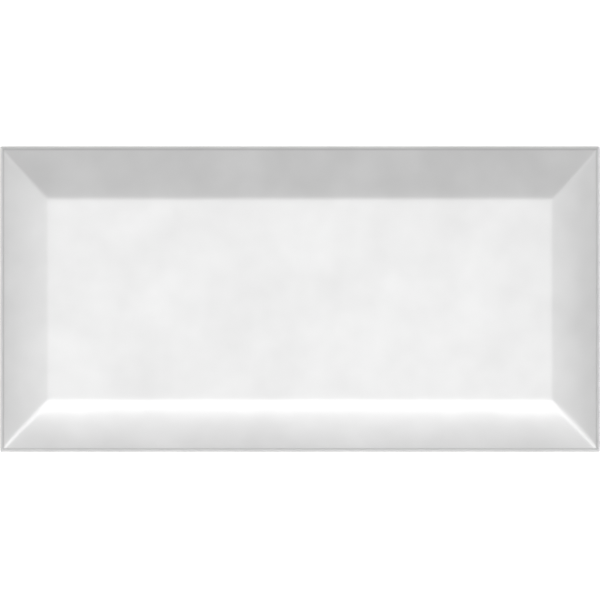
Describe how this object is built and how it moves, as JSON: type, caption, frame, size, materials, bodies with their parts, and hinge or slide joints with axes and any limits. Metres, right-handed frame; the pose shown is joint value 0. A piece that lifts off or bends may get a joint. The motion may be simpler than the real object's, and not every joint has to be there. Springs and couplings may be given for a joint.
{
  "type": "bevelled ceramic wall tile",
  "caption": "Rectangular glazed ceramic wall tile with bevelled borders round a raised flat face, a keyed back and square edges for grout joints.",
  "frame": {"origin": "middle of the back, in the plane that the tile lies on or is bonded by", "axes": "+X along the length, +Y across the width, +Z out of the glazed face"},
  "size_m": [0.2, 0.102, 0.008],
  "materials": {
    "white_glazed_ceramic": "white gloss glaze over a pressed and fired body, bare on the back"
  },
  "bodies": {
    "root": {"wall_tile": "white_glazed_ceramic"}
  },
  "joints": []
}
